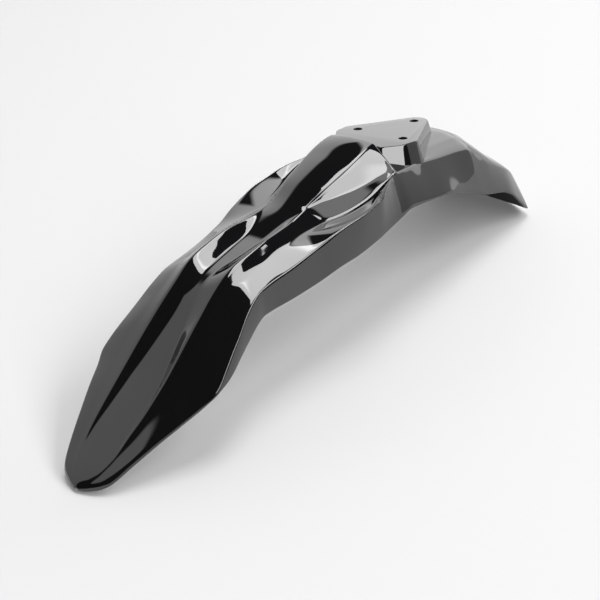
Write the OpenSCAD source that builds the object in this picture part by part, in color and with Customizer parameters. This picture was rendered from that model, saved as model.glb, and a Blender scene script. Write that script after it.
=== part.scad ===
// Front mudguard for an off-road motorcycle, moulded in one piece.
// A thin shell runs from the drooping nose over a raised hood to a curled tail. A flat mounting
// pad with three bolt holes stands behind the hood. X points to the nose, Z up, and the origin is
// on the top of the pad, midway between its two front holes.

/* [Overall] */
// Distance from the front holes to the tip of the nose.
nose_reach = 522; // [470:1:580]
// How far the lowest point of the nose lies below the pad.
nose_drop = 264; // [225:1:300]
// Distance from the front holes to the rear end of the tail.
tail_reach = 240; // [215:1:270]
// How far the rear end of the tail lies below the pad.
tail_drop = 145; // [128:1:162]
// Width over the two corners of the nose, which is the widest place.
overall_width = 180; // [165:1:195]
// Thickness of the moulded wall.
wall = 2.5; // [2:0.1:3]

/* [Sides] */
// Depth of the side skirts beside the hood, from the outer crease down to the edge.
skirt_depth = 46; // [38:1:54]
// Depth of the lip that stiffens the edge of the nose.
lip_depth = 4.5; // [3.5:0.5:7]

/* [Mounting pad] */
// Distance between the two front holes.
hole_spacing = 70; // [64:1:74]
// Distance from the front holes back to the rear hole.
rear_hole_setback = 70; // [64:1:74]
// Diameter of the three bolt holes.
hole_diameter = 11; // [8:0.5:12]
// Width of the pad across the front holes.
pad_width = 110; // [102:1:112]
// Width of the rounded rear end of the pad.
pad_rear_width = 30; // [26:1:36]
// How far the pad reaches behind the front holes.
pad_back = 89; // [86:1:94]
// Height of the pad walls that stand on the shell.
pad_height = 34; // [30:1:38]
// How much wider the pad gets from its top to its foot, on each side.
pad_draft = 11; // [8:0.5:13]
// Thickness of the top of the pad, where the bolts clamp.
pad_thickness = 4; // [3:0.5:5]

/* [Hidden] */
$fn = 48;

// The shell is drawn through six creases on each side. Each list gives points along one crease at
// the design sizes, as distance forward, distance from the middle and height. The points are then
// scaled with the sizes above.
crown = [[-240, 0, -144], [-234, 0, -122], [-224, 0, -102], [-210, 0, -84], [-190, 0, -66],
    [-160, 0, -46], [-130, 0, -26], [-95, 0, -15], [-40, 0, -14], [50, 0, -15], [54, 0, 9],
    [100, 0, -5], [145, 0, -25], [175, 0, -41], [200, 0, -51.5], [216, 0, -59.5], [232, 0, -67],
    [244, 0, -70], [255, 0, -72.5], [277, 0, -78], [292, 0, -81.5], [309, 0, -86], [324, 0, -93.5],
    [340, 0, -106],
    [361, 0, -127], [385, 0, -149], [408, 0, -170], [440, 0, -194.5], [460, 0, -209],
    [485, 0, -227.5], [505, 0, -242], [514, 0, -249], [520, 0, -255], [522, 0, -259]];
panel = [[-240, 1, -144], [-234, 9, -122], [-224, 16, -103], [-210, 24, -87], [-190, 26, -69],
    [-160, 26, -51], [-130, 26, -29], [-95, 24, -17], [50, 33, -17], [54, 33, 6], [78, 34.5, 0],
    [101, 34, -9], [124, 32, -19], [145, 30, -28], [174, 24.5, -43.5], [188, 22.5, -48.5],
    [198, 20, -51], [206, 19, -55], [216, 16.5, -59.5], [232, 14, -67], [244, 13, -70],
    [255, 12, -72.5], [277, 10, -78], [292, 8, -81.5], [309, 6, -86], [324, 5, -93.5],
    [340, 7.5, -106], [361, 11.5, -127], [385, 16, -149], [408, 21.5, -171], [420, 23.4, -181],
    [440, 24.8, -195.5], [460, 25, -209.8], [471, 24.8, -218], [485, 22.5, -228.5],
    [505, 17, -242.5], [514, 12, -250], [520, 5, -256], [522, 1, -259]];
thin = [[-240, 2, -144], [-234, 17, -124], [-224, 32, -106], [-210, 42, -91], [-190, 44, -74],
    [-160, 46, -58], [-130, 46, -38], [-95, 42, -21], [50, 48, -20], [54, 59, -16.5], [60, 60.5, -20.5],
    [75, 57.5, -25], [89, 54, -29], [115, 46, -33.5], [142, 36.5, -38], [174, 26.5, -44.5], [191, 26.5, -49],
    [204, 26.6, -52], [215, 27.4, -53.6], [226, 28.4, -55], [245, 30.4, -57.4], [263, 31, -61.6],
    [280, 31, -66.3], [296, 30.5, -71], [308, 30.4, -76.6], [317, 30.2, -82], [325, 30, -88],
    [337, 30, -97.3], [349, 30.4, -107], [361, 30.5, -117.4], [373, 30.6, -128], [394, 31, -148],
    [414, 30.7, -167], [436, 29.4, -186], [457, 28, -203.8], [470, 27, -215], [481, 26, -225],
    [490, 24.4, -232], [505, 20, -243], [514, 15, -250.5], [520, 6, -256.5], [522, 1.5, -259]];
channel = [[-240, 3, -144], [-234, 24, -127], [-224, 42, -110], [-210, 54, -95], [-190, 57, -79],
    [-160, 60, -64], [-130, 59, -45], [-95, 55, -27], [50, 60, -23], [54, 62, -19.5], [60, 65, -25],
    [89, 66, -38], [117, 60.5, -49], [142, 54.5, -55.5], [169, 46.5, -59.3], [206, 47, -62],
    [232, 45.5, -65.5], [261, 44.5, -72.5], [280, 44.5, -77], [294, 44.5, -81], [308, 45, -85.5],
    [324, 45, -95], [345, 47, -111.5], [370, 50, -133.5], [392, 54, -155], [411, 53, -172],
    [432, 46, -187.5], [457, 40, -207], [486, 31.5, -230.5], [505, 24, -244], [514, 18, -251],
    [520, 7, -257], [522, 2, -259]];
skirt = [[-240, 4, -144], [-234, 30, -129], [-224, 49, -114], [-210, 60, -98], [-196, 64, -87],
    [-170, 69, -75], [-134, 70, -59], [-98, 64, -33], [-60, 62, -30], [-1, 61.5, -25.5],
    [26, 64, -24], [50, 67, -24.5], [62, 68, -25.5], [89, 79, -32], [110, 86, -40], [136, 87, -46],
    [166, 83, -53.5], [190, 79, -61], [212, 75, -70], [250, 71.5, -82], [283, 69.5, -89.5],
    [295, 69.5, -92.5], [308, 71, -97], [330, 75, -112], [345, 79, -126], [359, 82, -138],
    [375, 86, -152], [392, 89, -168], [411, 81, -182], [432, 72, -195], [457, 60, -211.5],
    [486, 46, -232], [505, 35, -246], [511, 29, -250], [516, 20, -254], [520, 9.5, -258],
    [522, 3, -260]];
edge = [[-240, 6, -145], [-236, 34, -145], [-226, 62, -143], [-211, 85, -138], [-195, 86, -127],
    [-170, 86, -107], [-151, 85, -99], [-114, 85, -92], [-70, 84, -79], [-20, 85, -67], [45, 85, -65],
    [72, 85, -73], [110, 86.5, -84], [148, 85, -94], [180, 82, -100], [210, 77, -109],
    [256, 73, -117], [285, 71, -120.5], [296, 71, -122], [308, 73, -126], [329, 77, -139],
    [349, 82, -151], [363, 86, -159], [376, 88.5, -166], [392, 90, -172.5], [411, 82, -186.5],
    [432, 73, -199.5], [457, 61, -216], [486, 47, -236.5], [505, 36.5, -251], [511, 30.5, -255],
    [516, 21.5, -259], [520, 11, -262.5], [522, 4.5, -264]];
creases = [crown, panel, thin, channel, skirt, edge];

// Strips across each span between two creases, from the middle outward.
span_strips = [3, 1, 1, 2, 2];
// How far each span is bowed outward from a flat facet, in mm.
span_bow = [0, 0, 0, 0.4, 0.8];

// Places along the length where the shell is drawn: the ends, the steps and an even run between.
places = concat([-240, -237, -234, -229, -224, -217, -211], [for (x = [-203:9:37]) x],
    [41, 50, 54, 58, 64], [for (x = [72:9:288]) x], [for (x = [294:6:342]) x],
    [for (x = [350:9:386]) x], [392, 401, 411], [for (x = [420:10:500]) x],
    [505, 508.5, 511, 513.5, 516, 518, 519.5, 520.6, 521.4, 522]);

// A smooth line through the points of a crease that doesn't overshoot them.
function span_of(t, x, i = 0) = (i >= len(t) - 2 || x < t[i + 1][0]) ? i : span_of(t, x, i + 1);
function rise(t, i, c) = (t[i + 1][c] - t[i][c]) / (t[i + 1][0] - t[i][0]);
function lean(t, i, c) = i == 0 ? rise(t, 0, c) : i == len(t) - 1 ? rise(t, i - 1, c)
    : let (a = rise(t, i - 1, c), b = rise(t, i, c)) a * b <= 0 ? 0 : 2 * a * b / (a + b);
function along(t, x, c) = let (i = span_of(t, x), h = t[i + 1][0] - t[i][0],
    u = (x - t[i][0]) / h, u2 = u * u, u3 = u2 * u)
    (2 * u3 - 3 * u2 + 1) * t[i][c] + (u3 - 2 * u2 + u) * h * lean(t, i, c)
    + (3 * u2 - 2 * u3) * t[i + 1][c] + (u3 - u2) * h * lean(t, i + 1, c);

// The five spans of one half profile at a place x, from the middle to the edge. The free edge
// hangs below the outer crease by the depth of the skirt, and ahead of the waist by that of the lip.
function drawn(k, x) = [along(creases[k], x, 1), along(creases[k], x, 2)];
function nose_share(x) = max(0, min(1, (x - 285) / 107));
function depth_ratio(x) = (1 - nose_share(x)) * skirt_depth / 46 + nose_share(x) * lip_depth / 4.5;
function corner(k, x) = k < 5 ? drawn(k, x)
    : drawn(4, x) + (drawn(5, x) - drawn(4, x)) * depth_ratio(x);
function bowed(a, b, u, bow) = let (d = b - a, l = max(norm(d), 0.001))
    a + u * d + 4 * bow * u * (1 - u) * min(1, l / 20) * [-d[1], d[0]] / l * -1;
function crowned(a, b, u) = [a[0] + u * (b[0] - a[0]), a[1] + u * u * (b[1] - a[1])];
function half(x) = [for (k = [0:4]) let (a = corner(k, x), b = corner(k + 1, x))
    for (j = [0:span_strips[k] - 1]) let (u = j / span_strips[k])
        k == 0 ? crowned(a, b, u) : bowed(a, b, u, -span_bow[k])];
function profile(x) = let (h = concat(half(x), [corner(5, x)]), n = len(h))
    concat([for (i = [n - 1:-1:1]) [x, -h[i][0], h[i][1]]], [for (p = h) [x, p[0], p[1]]]);

// The points of the design shape, scaled to the sizes asked for. The height is left alone around
// the pad and takes its full ratio 150 mm farther out.
function eased(ratio, distance) = 1 + (ratio - 1) * max(0, min(1, distance / 150));
function scaled(p) = [p[0] * (p[0] > 0 ? nose_reach / 522 : tail_reach / 240),
    p[1] * overall_width / 180,
    p[2] * eased(nose_drop / 264, p[0] - 60) * eased(tail_drop / 145, -60 - p[0])];
outside = [for (x = places) [for (p = profile(x)) scaled(p)]];
rows = len(outside);
cols = len(outside[0]);

// The inside follows the outside at one wall thickness, measured square to the surface.
function unit(v) = norm(v) < 0.000001 ? [0, 0, 1] : v / norm(v);
function normal(i, j) = unit(cross(outside[min(i + 1, rows - 1)][j] - outside[max(i - 1, 0)][j],
    outside[i][min(j + 1, cols - 1)] - outside[i][max(j - 1, 0)]));
normals = [for (i = [0:rows - 1]) [for (j = [0:cols - 1]) normal(i, j)]];
function moved_in(depth) = [for (i = [0:rows - 1]) [for (j = [0:cols - 1])
    outside[i][j] - depth * normals[i][j]]];
inside = moved_in(wall);

module shell() {
    n = rows * cols;
    points = concat([for (r = outside) for (p = r) p], [for (r = inside) for (p = r) p]);
    sheet = [for (i = [0:rows - 2]) for (j = [0:cols - 2])
        let (a = i * cols + j, b = a + 1, c = a + cols, d = c + 1)
        each [[a, b, d], [a, d, c], [n + a, n + d, n + b], [n + a, n + c, n + d]]];
    ends = [for (j = [0:cols - 2]) let (a = j, b = j + 1, c = (rows - 1) * cols + j, d = c + 1)
        each [[a, n + b, b], [a, n + a, n + b], [c, d, n + d], [c, n + d, n + c]]];
    sides = [for (i = [0:rows - 2]) let (a = i * cols, c = a + cols, b = a + cols - 1, d = b + cols)
        each [[a, c, n + c], [a, n + c, n + a], [b, n + d, d], [b, n + b, n + d]]];
    polyhedron(points, concat(sheet, ends, sides), convexity = 12);
}

// The space below the middle of the wall around the pad, which trims the feet of the pad walls. It
// reaches 80 mm out at both sides, so that no foot hangs over the outer crease.
module space_below() {
    middle = moved_in(wall / 2);
    rows_used = [for (i = [0:rows - 1]) if (places[i] > -120 && places[i] < 90) i];
    cols_used = [for (j = [span_strips[4]:cols - 1 - span_strips[4]]) j];
    nr = len(rows_used);
    nc = len(cols_used) + 2;
    n = nr * nc;
    function level(p, y) = [p[0], y, p[2]];
    roof = [for (i = rows_used) let (r = [for (j = cols_used) middle[i][j]])
        each concat([level(r[0], -80)], r, [level(r[nc - 3], 80)])];
    points = concat(roof, [for (p = roof) [p[0], p[1], -90]]);
    sheet = [for (i = [0:nr - 2]) for (j = [0:nc - 2])
        let (a = i * nc + j, b = a + 1, c = a + nc, d = c + 1)
        each [[a, b, d], [a, d, c], [n + a, n + d, n + b], [n + a, n + c, n + d]]];
    ends = [for (j = [0:nc - 2]) let (a = j, b = j + 1, c = (nr - 1) * nc + j, d = c + 1)
        each [[a, n + b, b], [a, n + a, n + b], [c, d, n + d], [c, n + d, n + c]]];
    sides = [for (i = [0:nr - 2]) let (a = i * nc, c = a + nc, b = a + nc - 1, d = b + nc)
        each [[a, c, n + c], [a, n + c, n + a], [b, n + d, d], [b, n + b, n + d]]];
    polyhedron(points, concat(sheet, ends, sides), convexity = 12);
}

// Plan of the pad, grown outward by g. Its rear end is round and its corners are eased.
module pad_plan(g) {
    r = pad_rear_width / 2;
    side = concat([[46, 34], [20, pad_width / 2 - 2], [-2, pad_width / 2]],
        [for (a = [110:14:166]) [r - pad_back + r * cos(a), r * sin(a)]]);
    n = len(side);
    offset(r = 3) offset(delta = g - 3)
        polygon(concat(side, [[-pad_back, 0]], [for (i = [n - 1:-1:0]) [side[i][0], -side[i][1]]]));
}

// A solid with the outline of the pad and leaning walls, for the outside and the hollow of the pad.
module pad_block(top, foot, g) {
    hull() {
        translate([0, 0, top - 0.5]) linear_extrude(0.5) pad_plan(g);
        translate([0, 0, foot]) linear_extrude(0.5) pad_plan(g + pad_draft);
    }
}

module mudguard() {
    color([0.02, 0.02, 0.02])
    difference() {
        union() {
            shell();
            difference() {
                pad_block(0, -pad_height, 0);
                space_below();
            }
        }
        pad_block(-pad_thickness, -pad_height - 1, -wall);
        for (y = [-0.5, 0.5])
            translate([0, y * hole_spacing, -pad_thickness - 1])
                cylinder(d = hole_diameter, h = pad_thickness + 2);
        translate([-rear_hole_setback, 0, -pad_thickness - 1])
            cylinder(d = hole_diameter, h = pad_thickness + 2);
    }
}

mudguard();
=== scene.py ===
# %% [markdown]
# A front mudguard for an off-road motorcycle. On the real machine it is one piece of polypropylene,
# injection moulded in a single shot and left with the high gloss of the polished mould. It has no
# joints and no fasteners of its own, so the whole lesson is about one surface: how it folds from
# crease to crease, how its wall is made, and how a nearly black, glossy skin is shown with light.

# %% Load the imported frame
import math

import bpy
import numpy as np
from mathutils import Matrix, Vector


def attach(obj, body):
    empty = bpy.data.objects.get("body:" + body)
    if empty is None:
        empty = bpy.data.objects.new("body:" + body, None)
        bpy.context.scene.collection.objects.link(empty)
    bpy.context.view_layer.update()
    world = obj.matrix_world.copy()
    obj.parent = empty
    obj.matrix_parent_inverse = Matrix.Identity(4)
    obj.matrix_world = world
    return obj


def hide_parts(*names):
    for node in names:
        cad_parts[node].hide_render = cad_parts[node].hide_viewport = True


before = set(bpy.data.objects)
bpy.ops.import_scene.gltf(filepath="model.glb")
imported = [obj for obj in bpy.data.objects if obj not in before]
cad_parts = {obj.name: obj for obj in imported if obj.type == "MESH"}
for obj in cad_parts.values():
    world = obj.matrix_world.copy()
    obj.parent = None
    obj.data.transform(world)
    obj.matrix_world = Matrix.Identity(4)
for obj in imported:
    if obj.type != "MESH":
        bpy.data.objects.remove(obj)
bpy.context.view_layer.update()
MM = 0.001
print("frame loaded, nodes:", sorted(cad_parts))

# %% [markdown]
# The camera comes first, because every later choice is judged through it. The part is seen from
# ahead of its left side and from a little above. A camera could be aimed with a Track To constraint,
# but the horizon leans a little here, so its place and its axes are written out, in the part's own
# frame. The origin of that frame lies on the pad between the two front bolt holes.

# %% Place the camera
CAMERA_PLACE = Vector((1.3285, 1.0338, 0.4901))
CAMERA_RIGHT = Vector((-0.6529, 0.7569, -0.0280))
CAMERA_UP = Vector((-0.3115, -0.2346, 0.9208))
LENS_MM, SENSOR_MM = 84.68, 36.0
CLIP_NEAR, CLIP_FAR = 0.05, 50.0


def place_camera():
    """Puts the camera in its place, with its three axes made exactly square to each other."""
    camera = bpy.data.objects.new("portrait_camera", bpy.data.cameras.new("portrait_camera"))
    bpy.context.scene.collection.objects.link(camera)
    back = CAMERA_RIGHT.cross(CAMERA_UP).normalized()
    right = CAMERA_UP.cross(back).normalized()
    up = back.cross(right)
    turn = Matrix((right, up, back)).transposed()
    camera.matrix_world = Matrix.Translation(CAMERA_PLACE) @ turn.to_4x4()
    camera.data.lens = LENS_MM
    camera.data.sensor_width = SENSOR_MM
    camera.data.clip_start, camera.data.clip_end = CLIP_NEAR, CLIP_FAR
    bpy.context.scene.camera = camera
    return camera


camera = place_camera()
print("camera looks along", [round(v, 3) for v in -camera.matrix_world.col[2].xyz])

# %% [markdown]
# The colour is moulded in, so there is no paint. The outside takes the polish of the steel mould: it
# reflects like a lacquer, with a slow waviness where the plastic shrank behind the skin. The inside
# is moulded against a plainer core and is satin. An image could hold the waves and the grain, but
# it would have to be unwrapped over many facets. Both finishes are node materials in the part's own
# coordinates, so they need no image and look the same from every side. A specular level of 1 is
# twice the plain one of 0.5, and gives the polish its strong reflections.

# %% Mix the two finishes
SKIN_BLACK = (0.0040, 0.0040, 0.0045, 1.0)
CORE_BLACK = (0.0100, 0.0100, 0.0108, 1.0)
PLASTIC_IOR, SPECULAR_LEVEL = 1.5, 1.0
PATCH_SCALE, PATCH_DETAIL = 9.0, 3.0
WAVE_DETAIL, GRAIN_DETAIL = 1.0, 2.0
# The roughness is given as a span. A wave or a grain is its scale, its depth in mm and its strength.
SKIN_ROUGH, SKIN_WAVE, SKIN_GRAIN = (0.015, 0.045), (22.0, 0.25, 0.12), (900.0, 0.01, 0.05)
CORE_ROUGH, CORE_WAVE, CORE_GRAIN = (0.26, 0.38), (30.0, 0.3, 0.2), (1400.0, 0.03, 0.35)


def noise(tree, where, scale, detail):
    """Cloudy noise in the piece's own coordinates."""
    node = tree.nodes.new("ShaderNodeTexNoise")
    node.inputs["Scale"].default_value = scale
    node.inputs["Detail"].default_value = detail
    tree.links.new(where, node.inputs["Vector"])
    return node.outputs[0]


def spread(tree, value, low, high, start=0.3, stop=0.7):
    """Maps the middle of a noise onto the span from low to high."""
    node = tree.nodes.new("ShaderNodeMapRange")
    for name, number in (("From Min", start), ("From Max", stop), ("To Min", low), ("To Max", high)):
        node.inputs[name].default_value = number
    tree.links.new(value, node.inputs["Value"])
    return node.outputs["Result"]


def bump(tree, height, distance, strength, under=None):
    """Tilts the surface by a height, on top of another bump if one is given."""
    node = tree.nodes.new("ShaderNodeBump")
    node.inputs["Distance"].default_value = distance
    node.inputs["Strength"].default_value = strength
    tree.links.new(height, node.inputs["Height"])
    if under is not None:
        tree.links.new(under, node.inputs["Normal"])
    return node.outputs["Normal"]


def moulded_black(name, colour, rough, wave, grain):
    """Black plastic whose roughness drifts in patches, with slow waves under a fine grain."""
    material = bpy.data.materials.new(name)
    material.use_nodes = True
    tree = material.node_tree
    shader = tree.nodes["Principled BSDF"]
    where = tree.nodes.new("ShaderNodeTexCoord").outputs["Object"]
    shader.inputs["Base Color"].default_value = colour
    shader.inputs["IOR"].default_value = PLASTIC_IOR
    shader.inputs["Specular IOR Level"].default_value = SPECULAR_LEVEL
    patches = noise(tree, where, PATCH_SCALE, PATCH_DETAIL)
    tree.links.new(spread(tree, patches, rough[0], rough[1]), shader.inputs["Roughness"])
    slow = bump(tree, noise(tree, where, wave[0], WAVE_DETAIL), wave[1] * MM, wave[2])
    fine = bump(tree, noise(tree, where, grain[0], GRAIN_DETAIL), grain[1] * MM, grain[2], slow)
    tree.links.new(fine, shader.inputs["Normal"])
    return material


gloss_skin = moulded_black("gloss_skin", SKIN_BLACK, SKIN_ROUGH, SKIN_WAVE, SKIN_GRAIN)
satin_core = moulded_black("satin_core", CORE_BLACK, CORE_ROUGH, CORE_WAVE, CORE_GRAIN)
finishes = (gloss_skin, satin_core)
print("finishes:", [material.name for material in finishes])

# %% [markdown]
# A stylist draws a mudguard as a few crease lines that run from the tail to the nose, with calm
# facets between them. The same is done here. Each list holds points along one crease on the left
# side: distance forward, distance from the middle, and height, in millimetres. The right side is
# the mirror image. The jump from 50 to 54 mm is the rear edge of the raised hood, which stands up
# from the low tail like the mouth of a scoop. The form could be sculpted, or pulled from a cage with
# Subdivision Surface, but with lists one crease can be moved and all the others stay.

# %% Draw the six creases
crown = [[-240, 0, -144], [-234, 0, -122], [-224, 0, -102], [-210, 0, -84], [-190, 0, -66],
    [-160, 0, -46], [-130, 0, -26], [-95, 0, -15], [-40, 0, -14], [50, 0, -15], [54, 0, 9],
    [100, 0, -5], [145, 0, -25], [175, 0, -41], [200, 0, -51.5], [216, 0, -59.5], [232, 0, -67],
    [244, 0, -70], [255, 0, -72.5], [277, 0, -78], [292, 0, -81.5], [309, 0, -86], [324, 0, -93.5],
    [340, 0, -106], [361, 0, -127], [385, 0, -149], [408, 0, -170], [440, 0, -194.5],
    [460, 0, -209], [485, 0, -227.5], [505, 0, -242], [514, 0, -249], [520, 0, -255], [522, 0, -259]]
panel = [[-240, 1, -144], [-234, 9, -122], [-224, 16, -103], [-210, 24, -87], [-190, 26, -69],
    [-160, 26, -51], [-130, 26, -29], [-95, 24, -17], [50, 33, -17], [54, 33, 6], [78, 34.5, 0],
    [101, 34, -9], [124, 32, -19], [145, 30, -28], [174, 24.5, -43.5], [188, 22.5, -48.5],
    [198, 20, -51], [206, 19, -55], [216, 16.5, -59.5], [232, 14, -67], [244, 13, -70],
    [255, 12, -72.5], [277, 10, -78], [292, 8, -81.5], [309, 6, -86], [324, 5, -93.5],
    [340, 7.5, -106], [361, 11.5, -127], [385, 16, -149], [408, 21.5, -171], [420, 23.4, -181],
    [440, 24.8, -195.5], [460, 25, -209.8], [471, 24.8, -218], [485, 22.5, -228.5],
    [505, 17, -242.5], [514, 12, -250], [520, 5, -256], [522, 1, -259]]
thin = [[-240, 2, -144], [-234, 17, -124], [-224, 32, -106], [-210, 42, -91], [-190, 44, -74],
    [-160, 46, -58], [-130, 46, -38], [-95, 42, -21], [50, 48, -20], [54, 59, -16.5], [60, 60.5, -20.5],
    [75, 57.5, -25], [89, 54, -29], [115, 46, -33.5], [142, 36.5, -38], [174, 26.5, -44.5], [191, 26.5, -49],
    [204, 26.6, -52], [215, 27.4, -53.6], [226, 28.4, -55], [245, 30.4, -57.4], [263, 31, -61.6],
    [280, 31, -66.3], [296, 30.5, -71], [308, 30.4, -76.6], [317, 30.2, -82], [325, 30, -88],
    [337, 30, -97.3], [349, 30.4, -107], [361, 30.5, -117.4], [373, 30.6, -128], [394, 31, -148],
    [414, 30.7, -167], [436, 29.4, -186], [457, 28, -203.8], [470, 27, -215], [481, 26, -225],
    [490, 24.4, -232], [505, 20, -243], [514, 15, -250.5], [520, 6, -256.5], [522, 1.5, -259]]
channel = [[-240, 3, -144], [-234, 24, -127], [-224, 42, -110], [-210, 54, -95], [-190, 57, -79],
    [-160, 60, -64], [-130, 59, -45], [-95, 55, -27], [50, 60, -23], [54, 62, -19.5], [60, 65, -25],
    [89, 66, -38], [117, 60.5, -49], [142, 54.5, -55.5], [169, 46.5, -59.3], [206, 47, -62],
    [232, 45.5, -65.5], [261, 44.5, -72.5], [280, 44.5, -77], [294, 44.5, -81], [308, 45, -85.5],
    [324, 45, -95], [345, 47, -111.5], [370, 50, -133.5], [392, 54, -155], [411, 53, -172],
    [432, 46, -187.5], [457, 40, -207], [486, 31.5, -230.5], [505, 24, -244], [514, 18, -251],
    [520, 7, -257], [522, 2, -259]]
skirt = [[-240, 4, -144], [-234, 30, -129], [-224, 49, -114], [-210, 60, -98], [-196, 64, -87],
    [-170, 69, -75], [-140, 70, -62], [-134, 70, -59], [-127, 69, -54], [-105, 65, -38],
    [-98, 64, -33], [-90, 63.5, -32.2], [-60, 62, -30], [-1, 61.5, -25.5], [26, 64, -24],
    [50, 67, -24.5], [62, 68, -25.5], [89, 79, -32], [110, 86, -40], [136, 87, -46],
    [166, 83, -53.5], [190, 79, -61], [212, 75, -70], [250, 71.5, -82], [283, 69.5, -89.5],
    [295, 69.5, -92.5], [308, 71, -97], [330, 75, -112], [345, 79, -126], [359, 82, -138],
    [375, 86, -152], [392, 89, -168], [411, 81, -182], [432, 72, -195], [457, 60, -211.5],
    [486, 46, -232], [505, 35, -246], [511, 29, -250], [516, 20, -254], [520, 9.5, -258],
    [522, 3, -260]]
edge = [[-240, 6, -145], [-236, 34, -145], [-226, 62, -143], [-211, 85, -138], [-195, 86, -127],
    [-170, 86, -107], [-151, 85, -99], [-114, 85, -92], [-70, 84, -79], [-20, 85, -67], [45, 85, -65],
    [72, 85, -73], [110, 86.5, -84], [148, 85, -94], [180, 82, -100], [210, 77, -109],
    [256, 73, -117], [285, 71, -120.5], [296, 71, -122], [308, 73, -126], [329, 77, -139],
    [349, 82, -151], [363, 86, -159], [376, 88.5, -166], [392, 90, -172.5], [411, 82, -186.5],
    [432, 73, -199.5], [457, 61, -216], [486, 47, -236.5], [505, 36.5, -251], [511, 30.5, -255],
    [516, 21.5, -258.2], [520, 11, -260.8], [522, 4, -261.3]]
creases = [np.array(line, float) for line in (crown, panel, thin, channel, skirt, edge)]
TAIL_X, STEP_FOOT_X, STEP_TOP_X, NOSE_X = -240.0, 50.0, 54.0, 522.0
print(len(creases), "creases with", sum(len(line) for line in creases), "points on each side")

# %% [markdown]
# Straight lines from point to point would show as kinks in a mirror-like skin, so each crease is
# drawn as a cubic that passes its points without overshoot, and is then faired: every place takes a
# weighted mean of its neighbours within about a centimetre. The two outer creases are faired less,
# because the flat facets of the skirt meet at real corners. The reach narrows to nothing at both
# ends, and on the four inner creases at the hood's step, so those stay exactly where they were drawn.

# %% Fair the creases
FAIRING_MM = (5.0, 5.0, 5.0, 5.0, 2.0, 2.0)
REACH = 2.2
FAIRING_TAPS = 23
fairing_offsets = np.linspace(-REACH, REACH, FAIRING_TAPS)
fairing_weights = np.exp(-0.5 * fairing_offsets ** 2)
fairing_weights /= fairing_weights.sum()


def cubic(line, column, x):
    """The crease's distance from the middle (1) or height (2) at the places x."""
    at, value = line[:, 0], line[:, column]
    rise = np.diff(value) / np.diff(at)
    lean = np.zeros(len(at))
    lean[0], lean[-1] = rise[0], rise[-1]
    before, after = rise[:-1], rise[1:]
    calm = before * after > 0
    lean[1:-1][calm] = 2 * before[calm] * after[calm] / (before[calm] + after[calm])
    i = np.clip(np.searchsorted(at, x, side="right") - 1, 0, len(at) - 2)
    h = at[i + 1] - at[i]
    u = (x - at[i]) / h
    return ((2 * u ** 3 - 3 * u ** 2 + 1) * value[i] + (u ** 3 - 2 * u ** 2 + u) * h * lean[i]
        + (3 * u ** 2 - 2 * u ** 3) * value[i + 1] + (u ** 3 - u ** 2) * h * lean[i + 1])


def room_around(x, stops):
    """How far each place is from the nearest stop that fairing may not pass."""
    return np.min([np.abs(x - stop) for stop in stops], axis=0)


def fair(line, column, x, stops, fairing):
    """The crease at the places x, as weighted means over the neighbours of each place."""
    width = np.minimum(fairing, room_around(x, stops) / REACH)
    taps = x[:, None] + width[:, None] * fairing_offsets[None, :]
    taps = np.clip(taps, TAIL_X, NOSE_X)
    return cubic(line, column, taps.ravel()).reshape(taps.shape) @ fairing_weights


STEPPED = (TAIL_X, STEP_FOOT_X, STEP_TOP_X, NOSE_X)
SMOOTH = (TAIL_X, NOSE_X)
crease_stops = [STEPPED, STEPPED, STEPPED, STEPPED, SMOOTH, SMOOTH]
print("creases faired over", FAIRING_MM, "mm")

# %% [markdown]
# Next come the places where the skin is cut into sections. They could all lie 3 mm apart, as they
# do along the body, but too few would then fall where the form turns quickly. So they crowd together
# at the tail and at the nose, and up the step behind the hood, where 24 mm of height is climbed
# within 4 mm of length.

# %% Choose the sections
SECTION_GAP = 3.0
END_LENGTH = 36.0
END_SECTIONS = 26
STEP_SECTIONS = 16
EASE_SECTIONS = (0.4, 0.9, 1.5, 2.3, 3.4, 4.8, 6.6)


def even(start, stop, gap):
    return np.linspace(start, stop, int(round((stop - start) / gap)) + 1)


def section_places():
    """Places along the part from the tail to the nose, in millimetres."""
    crowd = END_LENGTH * (np.arange(END_SECTIONS) / END_SECTIONS) ** 2
    ease = np.array(EASE_SECTIONS)
    step = STEP_FOOT_X + (STEP_TOP_X - STEP_FOOT_X) * np.linspace(0, 1, STEP_SECTIONS + 1)
    behind = STEP_FOOT_X - ease[-1] - SECTION_GAP
    ahead = STEP_TOP_X + ease[-1] + SECTION_GAP
    return np.concatenate([TAIL_X + crowd, even(TAIL_X + END_LENGTH, behind, SECTION_GAP),
        STEP_FOOT_X - ease[::-1], step, STEP_TOP_X + ease,
        even(ahead, NOSE_X - END_LENGTH, SECTION_GAP), (NOSE_X - crowd)[::-1]])


sections = section_places()
print(len(sections), "sections from", sections[0], "to", sections[-1], "mm")

# %% [markdown]
# Across a section, the skin runs from the middle of the back over five spans to the free edge. The
# two outer spans are bowed by less than a millimetre, as a moulded panel is, and the creases between
# spans are eased. A crease that is too sharp would show no highlight, and the thin bright line along
# an eased crease is what makes a black moulding readable. Each easing is a short cubic curve that
# leaves both spans in their own directions, and it takes less than half of either.

# %% Shape the spans and the easings
EASE_STRIPS = 4
HANDLE = 0.62
BOW_LENGTH = 20.0
SHORTEST_SPAN, SHORTEST_HEADING = 0.001, 1e-6


def unit_rows(vectors, least):
    """Each row at length 1, unless it is shorter than least and so has no real direction."""
    return vectors / np.maximum(np.linalg.norm(vectors, axis=1), least)[:, None]


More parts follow.
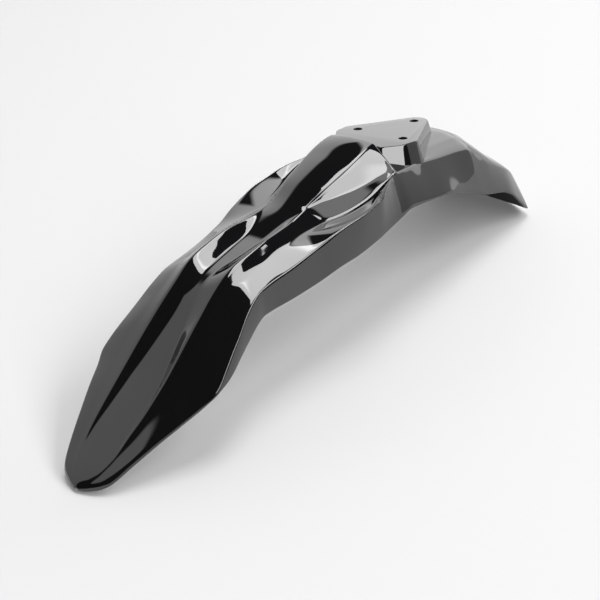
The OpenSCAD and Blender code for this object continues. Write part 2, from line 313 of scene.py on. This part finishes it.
def span_point(a, b, u, bow):
    """Points and directions at share u of the span from a to b, bowed outward."""
    run = b - a
    length = np.maximum(np.linalg.norm(run, axis=1), SHORTEST_SPAN)
    along = run / length[:, None]
    out = np.stack([-along[:, 1], along[:, 0]], axis=1)
    lift = bow * np.minimum(1, length / BOW_LENGTH)
    point = a + run * u[:, None] + out * (4 * lift * u * (1 - u))[:, None]
    heading = run + out * (4 * lift * (1 - 2 * u))[:, None]
    return point, unit_rows(heading, SHORTEST_HEADING)


def crown_point(a, b, u):
    """The first span leaves the middle level and falls away as a parabola."""
    drop = b[:, 1] - a[:, 1]
    point = np.stack([a[:, 0] + u * (b[:, 0] - a[:, 0]), a[:, 1] + u ** 2 * drop], axis=1)
    heading = np.stack([b[:, 0] - a[:, 0], 2 * u * drop], axis=1)
    return point, unit_rows(heading, SHORTEST_HEADING)


def ease_points(a, a_heading, b, b_heading, trim):
    """The rounded points between the end of one span and the start of the next."""
    reach = (HANDLE * trim)[:, None]
    c, d = a + a_heading * reach, b - b_heading * reach
    shares = [j / EASE_STRIPS for j in range(1, EASE_STRIPS)]
    return [(1 - t) ** 3 * a + 3 * t * (1 - t) ** 2 * c + 3 * t ** 2 * (1 - t) * d + t ** 3 * b
        for t in shares]


print("strips in an easing:", EASE_STRIPS, "full bow from", BOW_LENGTH, "mm of span")

# %% [markdown]
# The spans and easings are now strung together for all sections at once, as arrays. A Bevel modifier
# could round the creases of a plain loft too, but it would round them all alike. Here each crease
# between two spans has its own amount, and the curved spans get more strips than the flat ones.

# %% Cut the skin across
SPAN_STRIPS = (8, 5, 6, 8, 11)
SPAN_BOW = (0.0, 0.0, 0.0, 0.4, 0.8)
CREASE_EASE = (2.6, 2.6, 4.0, 2.0)
EASE_SHARE = 0.42


def half_section(x):
    """Left half of every section: an array of sections by points by (across, height)."""
    corners = [np.stack([fair(line, column, x, stops, fairing) for column in (1, 2)], axis=1)
        for line, stops, fairing in zip(creases, crease_stops, FAIRING_MM)]
    lengths = [np.maximum(np.linalg.norm(b - a, axis=1), SHORTEST_SPAN)
        for a, b in zip(corners, corners[1:])]
    trims = [np.minimum.reduce([np.full(len(x), ease), EASE_SHARE * lengths[k],
        EASE_SHARE * lengths[k + 1]]) for k, ease in enumerate(CREASE_EASE)]
    points = []
    for k, strips in enumerate(SPAN_STRIPS):
        a, b = corners[k], corners[k + 1]
        start = trims[k - 1] / lengths[k] if k else np.zeros(len(x))
        stop = 1 - (trims[k] / lengths[k] if k < len(trims) else np.zeros(len(x)))
        for j in range(strips + 1):
            u = start + (stop - start) * j / strips
            point, heading = span_point(a, b, u, SPAN_BOW[k]) if k else crown_point(a, b, u)
            if j == 0 and k:
                points += ease_points(last, last_heading, point, heading, trims[k - 1])
            points.append(point)
        last, last_heading = point, heading
    return np.stack(points, axis=1)


half = half_section(sections)
print("half sections:", half.shape)

# %% [markdown]
# The two halves are joined into one grid of points, in metres. A Mirror modifier could do that too,
# but the inside and the rim are simpler to make on one whole grid. The lip at the top of the hood's
# step and the valley at its foot are then slightly rounded, as every edge of a moulding is, by
# sliding each section a little toward its neighbours.

# %% Join the halves and soften the step
STEP_PASSES = 4
STEP_SPREAD = 5


def whole_skin(half, x):
    """Both halves as one grid of points in metres, from the right edge over to the left one."""
    right = half[:, :0:-1, :] * np.array([-1.0, 1.0])
    across = np.concatenate([right, half], axis=1)
    forward = np.repeat(x[:, None], across.shape[1], axis=1)
    return np.concatenate([forward[:, :, None], across], axis=2) * MM


def soften_step(skin, x):
    """Slides the sections near the step's foot and top toward their neighbours."""
    for corner_x in (STEP_FOOT_X, STEP_TOP_X):
        middle = int(np.argmin(np.abs(x - corner_x)))
        rows = slice(middle - STEP_SPREAD, middle + STEP_SPREAD + 1)
        for _ in range(STEP_PASSES):
            before, after = skin[rows.start - 1:rows.stop - 1], skin[rows.start + 1:rows.stop + 1]
            skin[rows] = 0.5 * skin[rows] + 0.25 * (before + after)
    return skin


skin = soften_step(whole_skin(half, sections), sections)
print("skin grid:", skin.shape, "width", round(float(np.ptp(skin[:, :, 1])) / MM, 1), "mm")

# %% [markdown]
# So far there are only numbers. A grid of points becomes a mesh when its neighbours are joined by
# four-sided faces. Every mesh of the mudguard gets both finishes as its material slots, so that any
# face can take either, and the faces keep their finish when the meshes are joined later.

# %% Turn points into meshes
SATIN_SLOT = 1


def grid_faces(rows, cols):
    """The four-sided faces between the points of a grid."""
    a = np.arange(rows * cols).reshape(rows, cols)
    quads = np.stack([a[:-1, :-1], a[1:, :-1], a[1:, 1:], a[:-1, 1:]], axis=-1)
    return quads.reshape(-1, 4)


def mesh_object(name, points, faces):
    """An object in the scene, made from points in metres and faces."""
    mesh = bpy.data.meshes.new(name)
    mesh.from_pydata([tuple(p) for p in points], [], [tuple(f) for f in faces])
    mesh.validate()
    for material in finishes:
        mesh.materials.append(material)
    piece = bpy.data.objects.new(name, mesh)
    bpy.context.scene.collection.objects.link(piece)
    return piece


def satin(mesh, faces):
    """Gives the satin finish to some faces of a mesh."""
    for i in faces:
        mesh.polygons[i].material_index = SATIN_SLOT


def points_of(mesh):
    """The points of a mesh as rows of an array."""
    co = np.zeros(len(mesh.vertices) * 3)
    mesh.vertices.foreach_get("co", co)
    return co.reshape(-1, 3)


rows, cols = skin.shape[:2]
outside = mesh_object("outside_skin", skin.reshape(-1, 3), grid_faces(rows, cols))
print("outside skin:", len(outside.data.polygons), "faces")

# %% [markdown]
# The inside of a moulding follows the outside at one wall thickness. That is a rule, so it is left
# to Geometry Nodes: the tree takes the normal of every point of the skin, blurs it a little over
# its neighbours so that the inside is calmer than the outside, as a mould's core is, and moves the
# point inward by the wall. Its faces are flipped, so that they look into the hollow. Solidify
# could make the wall too, but it would carry every crease through to the inside.

# %% Make the inside skin with Geometry Nodes
WALL_MM = 2.5
WALL = WALL_MM * MM
CORE_SOFTENING = 4


def new_tree(name, inputs):
    """An empty tree for Geometry Nodes, with the named inputs beside its geometry."""
    tree = bpy.data.node_groups.new(name, "GeometryNodeTree")
    tree.interface.new_socket("Geometry", in_out="INPUT", socket_type="NodeSocketGeometry")
    for label, kind in inputs:
        tree.interface.new_socket(label, in_out="INPUT", socket_type=kind)
    tree.interface.new_socket("Geometry", in_out="OUTPUT", socket_type="NodeSocketGeometry")
    return tree, tree.nodes.new("NodeGroupInput"), tree.nodes.new("NodeGroupOutput")


def core_tree():
    """Moves each point inward by the wall, along a softened normal."""
    tree, given, result = new_tree("core_side", [("Wall", "NodeSocketFloat"),
        ("Softening", "NodeSocketInt")])
    normal = tree.nodes.new("GeometryNodeInputNormal")
    blur = tree.nodes.new("GeometryNodeBlurAttribute")
    blur.data_type = "FLOAT_VECTOR"
    unit = tree.nodes.new("ShaderNodeVectorMath")
    unit.operation = "NORMALIZE"
    inward = tree.nodes.new("ShaderNodeMath")
    inward.operation = "MULTIPLY"
    inward.inputs[1].default_value = -1.0
    scale = tree.nodes.new("ShaderNodeVectorMath")
    scale.operation = "SCALE"
    move = tree.nodes.new("GeometryNodeSetPosition")
    flip = tree.nodes.new("GeometryNodeFlipFaces")
    finish = tree.nodes.new("GeometryNodeSetMaterial")
    finish.inputs["Material"].default_value = satin_core
    value = [s for s in blur.inputs if s.name == "Value" and s.enabled][0]
    blurred = [s for s in blur.outputs if s.enabled][0]
    link = tree.links.new
    link(normal.outputs["Normal"], value)
    link(given.outputs["Softening"], blur.inputs["Iterations"])
    link(blurred, unit.inputs[0])
    link(unit.outputs[0], scale.inputs[0])
    link(given.outputs["Wall"], inward.inputs[0])
    link(inward.outputs[0], scale.inputs["Scale"])
    link(given.outputs["Geometry"], move.inputs["Geometry"])
    link(scale.outputs[0], move.inputs["Offset"])
    link(move.outputs["Geometry"], flip.inputs["Mesh"])
    link(flip.outputs["Mesh"], finish.inputs["Geometry"])
    link(finish.outputs["Geometry"], result.inputs["Geometry"])
    return tree


def run_tree(piece, tree, values):
    """Runs a tree on a piece and returns the result as a plain mesh."""
    modifier = piece.modifiers.new(tree.name, "NODES")
    modifier.node_group = tree
    sockets = {s.name: s.identifier for s in tree.interface.items_tree if s.in_out == "INPUT"}
    for label, value in values.items():
        modifier[sockets[label]] = value
    evaluated = piece.evaluated_get(bpy.context.evaluated_depsgraph_get())
    mesh = bpy.data.meshes.new_from_object(evaluated)
    piece.modifiers.remove(modifier)
    return mesh


core_mesh = run_tree(outside, core_tree(), {"Wall": WALL, "Softening": CORE_SOFTENING})
core = points_of(core_mesh).reshape(rows, cols, 3)
print("core side made, mean wall", round(float(np.linalg.norm(core - skin, axis=2).mean()) / MM, 2), "mm")

# %% [markdown]
# A moulded edge isn't knife sharp. The free edge all round the mudguard is a half round between the
# outside and the inside skin, and it is what catches the light as a thin bright line along the nose
# and the skirts. A Bevel modifier could round it afterwards, but it would be held back wherever the
# faces are narrow. Here the two skins are stitched along one closed loop of edge points, and the loop
# is swept through half a turn about the middle of the wall.

# %% Stitch the two skins with a rounded edge
RIM_STEPS = 6
SHORTEST_CROSS = 1e-12


def boundary_loop(rows, cols):
    """The points along the four sides of a grid, in order round it."""
    a = np.arange(rows * cols).reshape(rows, cols)
    return np.concatenate([a[0, :-1], a[:-1, -1], a[-1, :0:-1], a[:0:-1, 0]])


def rim_points(outer, inner):
    """Rows of points from the outer loop to the inner loop, round the edge of the wall."""
    middle, reach = (outer + inner) / 2, (outer - inner) / 2
    along = np.roll(middle, -1, axis=0) - np.roll(middle, 1, axis=0)
    beyond = unit_rows(np.cross(reach, along), SHORTEST_CROSS)
    beyond *= np.linalg.norm(reach, axis=1)[:, None]
    turns = [math.pi * k / RIM_STEPS for k in range(1, RIM_STEPS)]
    return [middle + reach * math.cos(t) + beyond * math.sin(t) for t in turns]


def stitched_shell(skin, core):
    """Points and faces of the closed shell: outside first, then inside, then the rim."""
    rows, cols = skin.shape[:2]
    n = rows * cols
    loop = boundary_loop(rows, cols)
    outer, inner = skin.reshape(-1, 3), core.reshape(-1, 3)
    rims = rim_points(outer[loop], inner[loop])
    points = np.concatenate([outer, inner] + rims)
    quads = grid_faces(rows, cols)
    faces = [quads, quads[:, ::-1] + n]
    ids = [loop] + [2 * n + k * len(loop) + np.arange(len(loop)) for k in range(len(rims))] + [loop + n]
    for a, b in zip(ids, ids[1:]):
        faces.append(np.stack([a, np.roll(a, -1), np.roll(b, -1), b], axis=1))
    return points, np.concatenate(faces)


shell_points, shell_faces = stitched_shell(skin, core)
shell = mesh_object("mudguard_shell", shell_points, shell_faces)
skin_count = (rows - 1) * (cols - 1)
satin(shell.data, range(skin_count, 2 * skin_count))
print("shell:", len(shell_faces), "faces,", skin_count, "of them satin")

# %% [markdown]
# The mounting pad is a raised box with leaning walls, open below, whose flat top is clamped under
# the fork's lower yoke. Seen from above it is a rounded arrowhead that points to the rear. It is
# drawn as one outline with eased corners, in millimetres. A box with bevelled corners would be
# quicker, but two bolts in front and one behind ask for this arrowhead.

# %% Draw the pad's outline
PAD_SIDE = [(46.0, 34.0), (20.0, 53.0), (-2.0, 55.0)]
PAD_BACK, PAD_REAR_RADIUS = 89.0, 15.0
PAD_REAR_ANGLES = range(114, 180, 11)
PAD_CORNER, CORNER_SHARE, CORNER_STEPS = 4.0, 0.45, 6


def pad_corners():
    """The corners of the pad's outline, round it from the left front to the right front."""
    rear = [(PAD_REAR_RADIUS - PAD_BACK + PAD_REAR_RADIUS * math.cos(math.radians(a)),
        PAD_REAR_RADIUS * math.sin(math.radians(a))) for a in PAD_REAR_ANGLES]
    left = PAD_SIDE + rear
    return np.array(left + [(x, -y) for x, y in left[::-1]])


def eased_outline(corners, radius):
    """The outline with each corner replaced by a short curve."""
    points = []
    for a, b, c in zip(np.roll(corners, 1, axis=0), corners, np.roll(corners, -1, axis=0)):
        back, ahead = np.linalg.norm(a - b), np.linalg.norm(c - b)
        trim = min(radius, CORNER_SHARE * back, CORNER_SHARE * ahead)
        start = b + (a - b) / back * trim
        stop = b + (c - b) / ahead * trim
        for t in np.linspace(0, 1, CORNER_STEPS + 1):
            points.append((1 - t) ** 2 * start + 2 * t * (1 - t) * b + t ** 2 * stop)
    return np.array(points)


pad_outline = eased_outline(pad_corners(), PAD_CORNER)
print("pad outline:", len(pad_outline), "points")

# %% [markdown]
# A moulded wall always leans, or the part would not leave the mould. So the pad is built from rings,
# each of them the outline grown outward by the lean at its height, 11 mm over a height of 34 mm. The
# hollow below it is the same block again, inset by the wall. Both run down past the shell on
# purpose: the pad's feet are trimmed later, and the hollow is only used to cut.

# %% Build the pad and its hollow
PAD_HEIGHT, PAD_DRAFT, PAD_THICKNESS = 34.0, 11.0, 4.0
PAD_EDGE_EASE, HOLLOW_EDGE_EASE = 1.2, 0.6
EDGE_RINGS, WALL_RINGS = 6, 8
SHARPEST_CORNER, SHORTEST_SIDE = 0.5, 1e-9
HOLLOW_OVERSHOOT = 1.0


def grown(outline, g):
    """The outline moved outward by g millimetres, measured square to its sides."""
    a = unit_rows(outline - np.roll(outline, 1, axis=0), SHORTEST_SIDE)
    b = unit_rows(np.roll(outline, -1, axis=0) - outline, SHORTEST_SIDE)
    out = unit_rows(np.stack([(a + b)[:, 1], -(a + b)[:, 0]], axis=1), SHORTEST_SIDE)
    share = np.maximum(out[:, 0] * a[:, 1] - out[:, 1] * a[:, 0], SHARPEST_CORNER)
    return outline + out * (g / share)[:, None]


def ringed_block(name, rings):
    """A closed block from rings of (outline, height), with flat ends."""
    points = [(x * MM, y * MM, z * MM) for outline, z in rings for x, y in outline]
    n = len(rings[0][0])
    faces = []
    for k in range(len(rings) - 1):
        a, b = k * n, (k + 1) * n
        faces += [(a + i, b + i, b + (i + 1) % n, a + (i + 1) % n) for i in range(n)]
    last = (len(rings) - 1) * n
    faces += [tuple(range(n)), tuple(reversed(range(last, last + n)))]
    return mesh_object(name, points, faces)


def pad_rings(top, foot, inset, ease):
    """Rings of a leaning block: first round the edge of its top, then down its walls."""
    lean = PAD_DRAFT / PAD_HEIGHT
    rings = []
    for t in np.linspace(0, math.pi / 2, EDGE_RINGS):
        drop = ease * (1 - math.cos(t))
        rings.append((grown(pad_outline, ease * (math.sin(t) - 1) + lean * drop - inset), top - drop))
    for z in np.linspace(top - ease, foot, WALL_RINGS)[1:]:
        rings.append((grown(pad_outline, lean * (top - z) - inset), z))
    return rings


pad_outside = ringed_block("pad_outside", pad_rings(0.0, -PAD_HEIGHT, 0.0, PAD_EDGE_EASE))
pad_hollow = ringed_block("pad_hollow",
    pad_rings(-PAD_THICKNESS, -PAD_HEIGHT - HOLLOW_OVERSHOOT, WALL_MM, HOLLOW_EDGE_EASE))
satin(pad_hollow.data, range(len(pad_hollow.data.polygons)))
print("pad:", len(pad_outside.data.polygons), "faces, hollow:", len(pad_hollow.data.polygons))

# %% [markdown]
# The bolt holes repeat, so Geometry Nodes place them. The tree sets one cutter at each of three
# places and turns the instances into real mesh. The cutter is a short pin through the pad's top,
# joined with a cone that widens at 45 degrees and leaves the small chamfer at the mouth of the hole.

# %% Place the bolt-hole cutters with Geometry Nodes
HOLE_RADIUS = 5.5 * MM
HOLE_CHAMFER = 0.5 * MM
HOLE_SPACING = 70.0 * MM
HOLE_SETBACK = 70.0 * MM
CUTTER_DEPTH = 6.0 * MM
HOLE_FACETS = 64


def cutter_tree():
    """Sets a flared pin on every point it is given."""
    tree, given, result = new_tree("bolt_holes", [("Radius", "NodeSocketFloat"),
        ("Depth", "NodeSocketFloat")])
    pin = tree.nodes.new("GeometryNodeMeshCylinder")
    pin.inputs["Vertices"].default_value = HOLE_FACETS
    flare = tree.nodes.new("GeometryNodeMeshCone")
    flare.inputs["Vertices"].default_value = HOLE_FACETS
    flare.inputs["Radius Top"].default_value = HOLE_RADIUS + 2 * HOLE_CHAMFER
    flare.inputs["Radius Bottom"].default_value = HOLE_RADIUS - HOLE_CHAMFER
    flare.inputs["Depth"].default_value = 3 * HOLE_CHAMFER
    lift = tree.nodes.new("GeometryNodeTransform")
    lift.inputs["Translation"].default_value = (0, 0, -2 * HOLE_CHAMFER)
    union = tree.nodes.new("GeometryNodeMeshBoolean")
    union.operation = "UNION"
    place = tree.nodes.new("GeometryNodeInstanceOnPoints")
    real = tree.nodes.new("GeometryNodeRealizeInstances")
    finish = tree.nodes.new("GeometryNodeSetMaterial")
    finish.inputs["Material"].default_value = gloss_skin
    link = tree.links.new
    link(given.outputs["Radius"], pin.inputs["Radius"])
    link(given.outputs["Depth"], pin.inputs["Depth"])
    link(flare.outputs["Mesh"], lift.inputs["Geometry"])
    joined = [s for s in union.inputs if s.is_multi_input][0]
    link(pin.outputs["Mesh"], joined)
    link(lift.outputs["Geometry"], joined)
    link(given.outputs["Geometry"], place.inputs["Points"])
    link(union.outputs["Mesh"], place.inputs["Instance"])
    link(place.outputs["Instances"], real.inputs["Geometry"])
    link(real.outputs["Geometry"], finish.inputs["Geometry"])
    link(finish.outputs["Geometry"], result.inputs["Geometry"])
    return tree


hole_places = [(0, HOLE_SPACING / 2, 0), (0, -HOLE_SPACING / 2, 0), (-HOLE_SETBACK, 0, 0)]
hole_points = mesh_object("hole_points", hole_places, [])
cutter_mesh = run_tree(hole_points, cutter_tree(), {"Radius": HOLE_RADIUS, "Depth": 2 * CUTTER_DEPTH})
hole_cutters = bpy.data.objects.new("hole_cutters", cutter_mesh)
bpy.context.scene.collection.objects.link(hole_cutters)
print("cutters:", len(cutter_mesh.polygons), "faces at", len(hole_places), "places")

# %% [markdown]
# The pad's walls end inside the shell's wall. A block that fills the space below the middle of the
# wall trims their feet. Its toe reaches ahead, because the pad's front wall leans forward under the
# hood, and a sliver of it would hang there. Then the pad is joined to the shell, its hollow is cut
# through from below, and the holes are cut last. The pieces could be left to overlap, but the real
# part is one moulding, so its mesh should be one closed skin.

# %% Trim, join and cut
TRIM_REAR, TRIM_FRONT, TRIM_TOE = -120.0, 52.0, 90.0
TRIM_FLOOR, TRIM_SIDE = -90.0, 80.0


def space_below(skin, core):
    """A closed block below the middle of the wall, with its toe ahead and its sides level."""
    inside = [i for i, x in enumerate(sections) if TRIM_REAR < x < TRIM_FRONT]
    span = slice(SPAN_STRIPS[-1] + EASE_STRIPS, skin.shape[1] - SPAN_STRIPS[-1] - EASE_STRIPS)
    roof = ((skin + core) / 2)[inside[0]:inside[-1] + 1, span]
    right, left = roof[:, :1].copy(), roof[:, -1:].copy()
    right[:, :, 1], left[:, :, 1] = -TRIM_SIDE * MM, TRIM_SIDE * MM
    roof = np.concatenate([right, roof, left], axis=1)
    rows, cols = roof.shape[:2]
    n = rows * cols
    floor = roof.reshape(-1, 3).copy()
    floor[:, 2] = TRIM_FLOOR * MM
    floor[-cols:, 0] = TRIM_TOE * MM
    quads = grid_faces(rows, cols)
    loop = boundary_loop(rows, cols)
    sides = np.stack([loop, np.roll(loop, -1), np.roll(loop + n, -1), loop + n], axis=1)
    faces = np.concatenate([quads, quads[:, ::-1] + n, sides])
    return mesh_object("space_below", np.concatenate([roof.reshape(-1, 3), floor]), faces)


def cut(piece, tool, operation):
    """Applies one Boolean modifier and keeps the result as the piece's plain mesh."""
    modifier = piece.modifiers.new(tool.name, "BOOLEAN")
    modifier.operation = operation
    modifier.solver = "MANIFOLD"
    modifier.object = tool
    mesh = bpy.data.meshes.new_from_object(piece.evaluated_get(bpy.context.evaluated_depsgraph_get()))
    piece.modifiers.remove(modifier)
    old = piece.data
    piece.data = mesh
    bpy.data.meshes.remove(old)
    print(operation.lower(), tool.name, "gives", len(mesh.polygons), "faces")


def merge_parts():
    """Makes the shell one mesh with its pad and holes, and removes the helpers."""
    below = space_below(skin, core)
    cut(pad_outside, below, "DIFFERENCE")
    cut(shell, pad_outside, "UNION")
    cut(shell, pad_hollow, "DIFFERENCE")
    cut(shell, hole_cutters, "DIFFERENCE")
    for helper in (below, pad_outside, pad_hollow, hole_cutters, hole_points, outside):
        bpy.data.objects.remove(helper)
    shell.data.name = "mudguard_shell"


merge_parts()

# %% [markdown]
# The facets are flat or gently bowed and the creases are real, narrow curves, so the shading can be
# smooth everywhere except at true corners, such as the rim of a hole. Flat shading would show every
# strip in a gloss this deep, and marking corners by hand would be slow, so the angle decides.

# %% Shade the surface
SHARP_ANGLE = math.radians(32)


def shade(piece):
    """Smooth shading, with sharp edges where two faces meet at more than the set angle."""
    piece.data.polygons.foreach_set("use_smooth", [True] * len(piece.data.polygons))
    piece.data.set_sharp_from_angle(angle=SHARP_ANGLE)
    piece.data.update()


shade(shell)
print("triangles:", sum(len(p.vertices) - 2 for p in shell.data.polygons))

# %% [markdown]
# In the studio the mudguard stands on white paper, on the tip of its nose and the rear edge of its
# tail, so the floor is tilted in the part's frame. The paper ends just ahead of the picture, so that
# the faces on the camera's side mirror the dark room beyond it. What the camera and the reflections
# see of the paper is mixed with a small share of plain white, which evens out its brightness. The
# rest is lit by the lamps and keeps the part's shadow. More light could make the paper white too,
# but it would fall on the part as well.

# %% Lay the paper
PAPER_WHITE = (0.735, 0.735, 0.74, 1.0)
PAPER_GLOW, PAPER_EVENNESS = 0.913, 0.12
PAPER_ROUGH, PAPER_SPECULAR = 0.9, 0.1
NOSE_FOOT = Vector((0.522, 0.0, -0.2655))
TAIL_FOOT = Vector((-0.240, 0.0, -0.1455))
PAPER_NEAR, PAPER_FAR, PAPER_HALF_WIDTH = 0.62, -4.5, 4.0


def paper_axes():
    """Directions on the floor toward the camera and to the camera's left, and the way down."""
    along = (NOSE_FOOT - TAIL_FOOT).normalized()
    down = along.cross(Vector((0, 1, 0))) * -1
    toward = CAMERA_PLACE - NOSE_FOOT
    toward = (toward - down * toward.dot(down)).normalized()
    return toward, down.cross(toward), down


def calculate(tree, operation, a, b):
    """A math node on two values, each a number or another node's output."""
    node = tree.nodes.new("ShaderNodeMath")
    node.operation = operation
    for socket, value in zip(node.inputs, (a, b)):
        if isinstance(value, (int, float)):
            socket.default_value = value
        else:
            tree.links.new(value, socket)
    return node.outputs[0]


def even_out(tree, shader):
    """Mixes a share of plain white into what the camera and the reflections see of the paper."""
    path = tree.nodes.new("ShaderNodeLightPath")
    seen = path.outputs["Is Camera Ray"]
    for kind in ("Is Glossy Ray", "Is Transmission Ray"):
        seen = calculate(tree, "MAXIMUM", seen, path.outputs[kind])
    glow = tree.nodes.new("ShaderNodeEmission")
    glow.inputs["Strength"].default_value = PAPER_GLOW
    mix = tree.nodes.new("ShaderNodeMixShader")
    link = tree.links.new
    link(calculate(tree, "MULTIPLY", seen, PAPER_EVENNESS), mix.inputs["Fac"])
    link(shader.outputs["BSDF"], mix.inputs[1])
    link(glow.outputs["Emission"], mix.inputs[2])
    link(mix.outputs["Shader"], tree.nodes["Material Output"].inputs["Surface"])


def lay_paper():
    """Lays the paper under the part and returns the way down from it."""
    toward, left, down = paper_axes()
    middle = NOSE_FOOT.lerp(TAIL_FOOT, 0.5)
    half_width = left * PAPER_HALF_WIDTH
    far, near = middle + toward * PAPER_FAR, middle + toward * PAPER_NEAR
    corners = [far - half_width, near - half_width, near + half_width, far + half_width]
    mesh = bpy.data.meshes.new("paper")
    mesh.from_pydata(corners, [], [(0, 1, 2, 3)])
    paper = bpy.data.objects.new("paper", mesh)
    bpy.context.scene.collection.objects.link(paper)
    material = bpy.data.materials.new("paper")
    material.use_nodes = True
    shader = material.node_tree.nodes["Principled BSDF"]
    shader.inputs["Base Color"].default_value = PAPER_WHITE
    shader.inputs["Roughness"].default_value = PAPER_ROUGH
    shader.inputs["Specular IOR Level"].default_value = PAPER_SPECULAR
    even_out(material.node_tree, shader)
    mesh.materials.append(material)
    return down


floor_down = lay_paper()
print("floor leans by", round(math.degrees(floor_down.angle(Vector((0, 0, -1)))), 1), "degrees")

# %% [markdown]
# A black, glossy part shows its lights more than itself. Two softboxes do most of the drawing here.
# A wide one hangs overhead, turned by thirty degrees, and the faces that slope toward the camera
# mirror it. A long strip leans in from the left, for the steeper faces of the near side. Each is
# given by the place of its middle, the direction behind it, the way its first side runs, its two
# sides in metres and how bright its cloth is. The lamp's power is the brightness times the area
# times pi. Small lamps could light a matt part, but a gloss skin would show them only as dots.

# %% Hang the softboxes
SOFTBOXES = (
    ("overhead", (-1.05, -0.1, 7.0), (0.0, 0.0, 1.0), (-0.866, 0.5, 0.0), (3.5, 4.2), 6.2),
    ("strip", (-0.35, 5.7, 4.3), (-0.18, 0.77, 0.62), (-0.75, -0.51, 0.42), (9.8, 2.2), 6.5))
CLOTH_TO_WATTS = math.pi


def hang_softbox(name, place, behind, along, size, cloth):
    """Hangs one softbox and returns its power in watts."""
    light = bpy.data.lights.new("softbox_" + name, "AREA")
    light.shape = "RECTANGLE"
    light.size, light.size_y = size
    light.energy = cloth * size[0] * size[1] * CLOTH_TO_WATTS
    lamp = bpy.data.objects.new("softbox_" + name, light)
    bpy.context.scene.collection.objects.link(lamp)
    z = Vector(behind).normalized()
    x = (Vector(along) - z * z.dot(Vector(along))).normalized()
    lamp.matrix_world = Matrix.Translation(place) @ Matrix((x, z.cross(x), z)).transposed().to_4x4()
    return round(light.energy)


print("watts:", [hang_softbox(*softbox) for softbox in SOFTBOXES])

# %% [markdown]
# The rest of the room is the world. Behind the part and on its right stands a pale wall that gets
# brighter upward and toward the tail. Its clean top edge leans down toward the tail, and the dark
# above it makes the dark band that runs down the middle of the hood. At the rear right the wall goes
# on upward as a column, which is brightest at its top. The end of the wall on the part's left is
# dimmed. A small bright card hangs between the two softboxes, and the rest of the room is nearly
# dark. An image of a studio could do the same, but a few borders are easier to move. A border is a
# direction and two numbers: it is 0 where a view leans less toward the direction than the first
# number, and 1 where it leans more than the second.

# %% Describe the room
WALL_LIGHT, WALL_LIGHT_REAR = 0.55, 1.1
WALL_CLIMB, WALL_CLIMB_REAR = 0.3, 1.3
WALL_START = ((-0.74, -0.67, 0.0), -0.13, -0.07)
WALL_TOP = ((0.14, 0.0, -1.0), -0.76, -0.72)
COLUMN_SIDES = (((-1.0, 1.07, 0.0), -0.05, 0.05), ((0.39, -0.92, 0.0), -0.05, 0.05))
COLUMN_LIGHT, COLUMN_POWER = 3.5, 6.0
DIM_START, DIM_SHARE = ((0.423, 0.906, 0.0), -0.01, 0.01), 0.62
CARD, CARD_LIGHT = ((-0.119, 0.561, 0.819), 0.972, 0.992), 1.8
DARKEST = 0.03


def step_up(tree, value, start, stop):
    """0 below start, 1 above stop, and smooth between."""
    node = tree.nodes.new("ShaderNodeMapRange")
    node.interpolation_type = "SMOOTHSTEP"
    node.inputs["From Min"].default_value = start
    node.inputs["From Max"].default_value = stop
    tree.links.new(value, node.inputs["Value"])
    return node.outputs["Result"]


def dot(tree, direction, x, y, z):
    """How far a direction leans toward x, y, z."""
    node = tree.nodes.new("ShaderNodeVectorMath")
    node.operation = "DOT_PRODUCT"
    node.inputs[1].default_value = (x, y, z)
    tree.links.new(direction, node.inputs[0])
    return node.outputs["Value"]


def room_brightness(tree, where):
    """Brightness of the room in each direction."""
    def plus(a, b):
        return calculate(tree, "ADD", a, b)

    def times(a, b):
        return calculate(tree, "MULTIPLY", a, b)

    def beyond(border):
        direction, start, stop = border
        return step_up(tree, dot(tree, where, *direction), start, stop)

    upward = calculate(tree, "MAXIMUM", dot(tree, where, 0, 0, 1), 0.0)
    rearward = calculate(tree, "MAXIMUM", dot(tree, where, -1, 0, 0), 0.0)
    climb = plus(times(rearward, WALL_CLIMB_REAR), WALL_CLIMB)
    wall = plus(times(upward, climb), plus(times(rearward, WALL_LIGHT_REAR), WALL_LIGHT))
    column = times(beyond(COLUMN_SIDES[0]), beyond(COLUMN_SIDES[1]))
    shown = times(beyond(WALL_START), calculate(tree, "MAXIMUM", beyond(WALL_TOP), column))
    wall = plus(wall, times(times(calculate(tree, "POWER", upward, COLUMN_POWER), COLUMN_LIGHT), column))
    kept = calculate(tree, "SUBTRACT", 1.0, times(beyond(DIM_START), DIM_SHARE))
    room = plus(times(times(wall, shown), kept), times(beyond(CARD), CARD_LIGHT))
    return calculate(tree, "MAXIMUM", room, DARKEST)


print("wall at the horizon:", WALL_LIGHT, "to", round(WALL_LIGHT + WALL_LIGHT_REAR, 2))

# %% [markdown]
# The world is a node tree too. Its brightness is the one just described, and its colour is white.
# The picture is shown as it is, so the view transform is the plain one.

# %% Light the room
def light_room():
    """Makes the world from the room's brightness."""
    world = bpy.data.worlds.new("studio")
    bpy.context.scene.world = world
    world.use_nodes = True
    tree = world.node_tree
    background = tree.nodes["Background"]
    where = tree.nodes.new("ShaderNodeTexCoord").outputs["Generated"]
    tree.links.new(room_brightness(tree, where), background.inputs["Strength"])
    background.inputs["Color"].default_value = (1.0, 1.0, 1.0, 1.0)
    bpy.context.scene.view_settings.view_transform = "Standard"


light_room()
print("room lit")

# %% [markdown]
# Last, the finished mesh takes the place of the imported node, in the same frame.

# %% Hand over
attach(shell, "root")
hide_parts("mudguard")
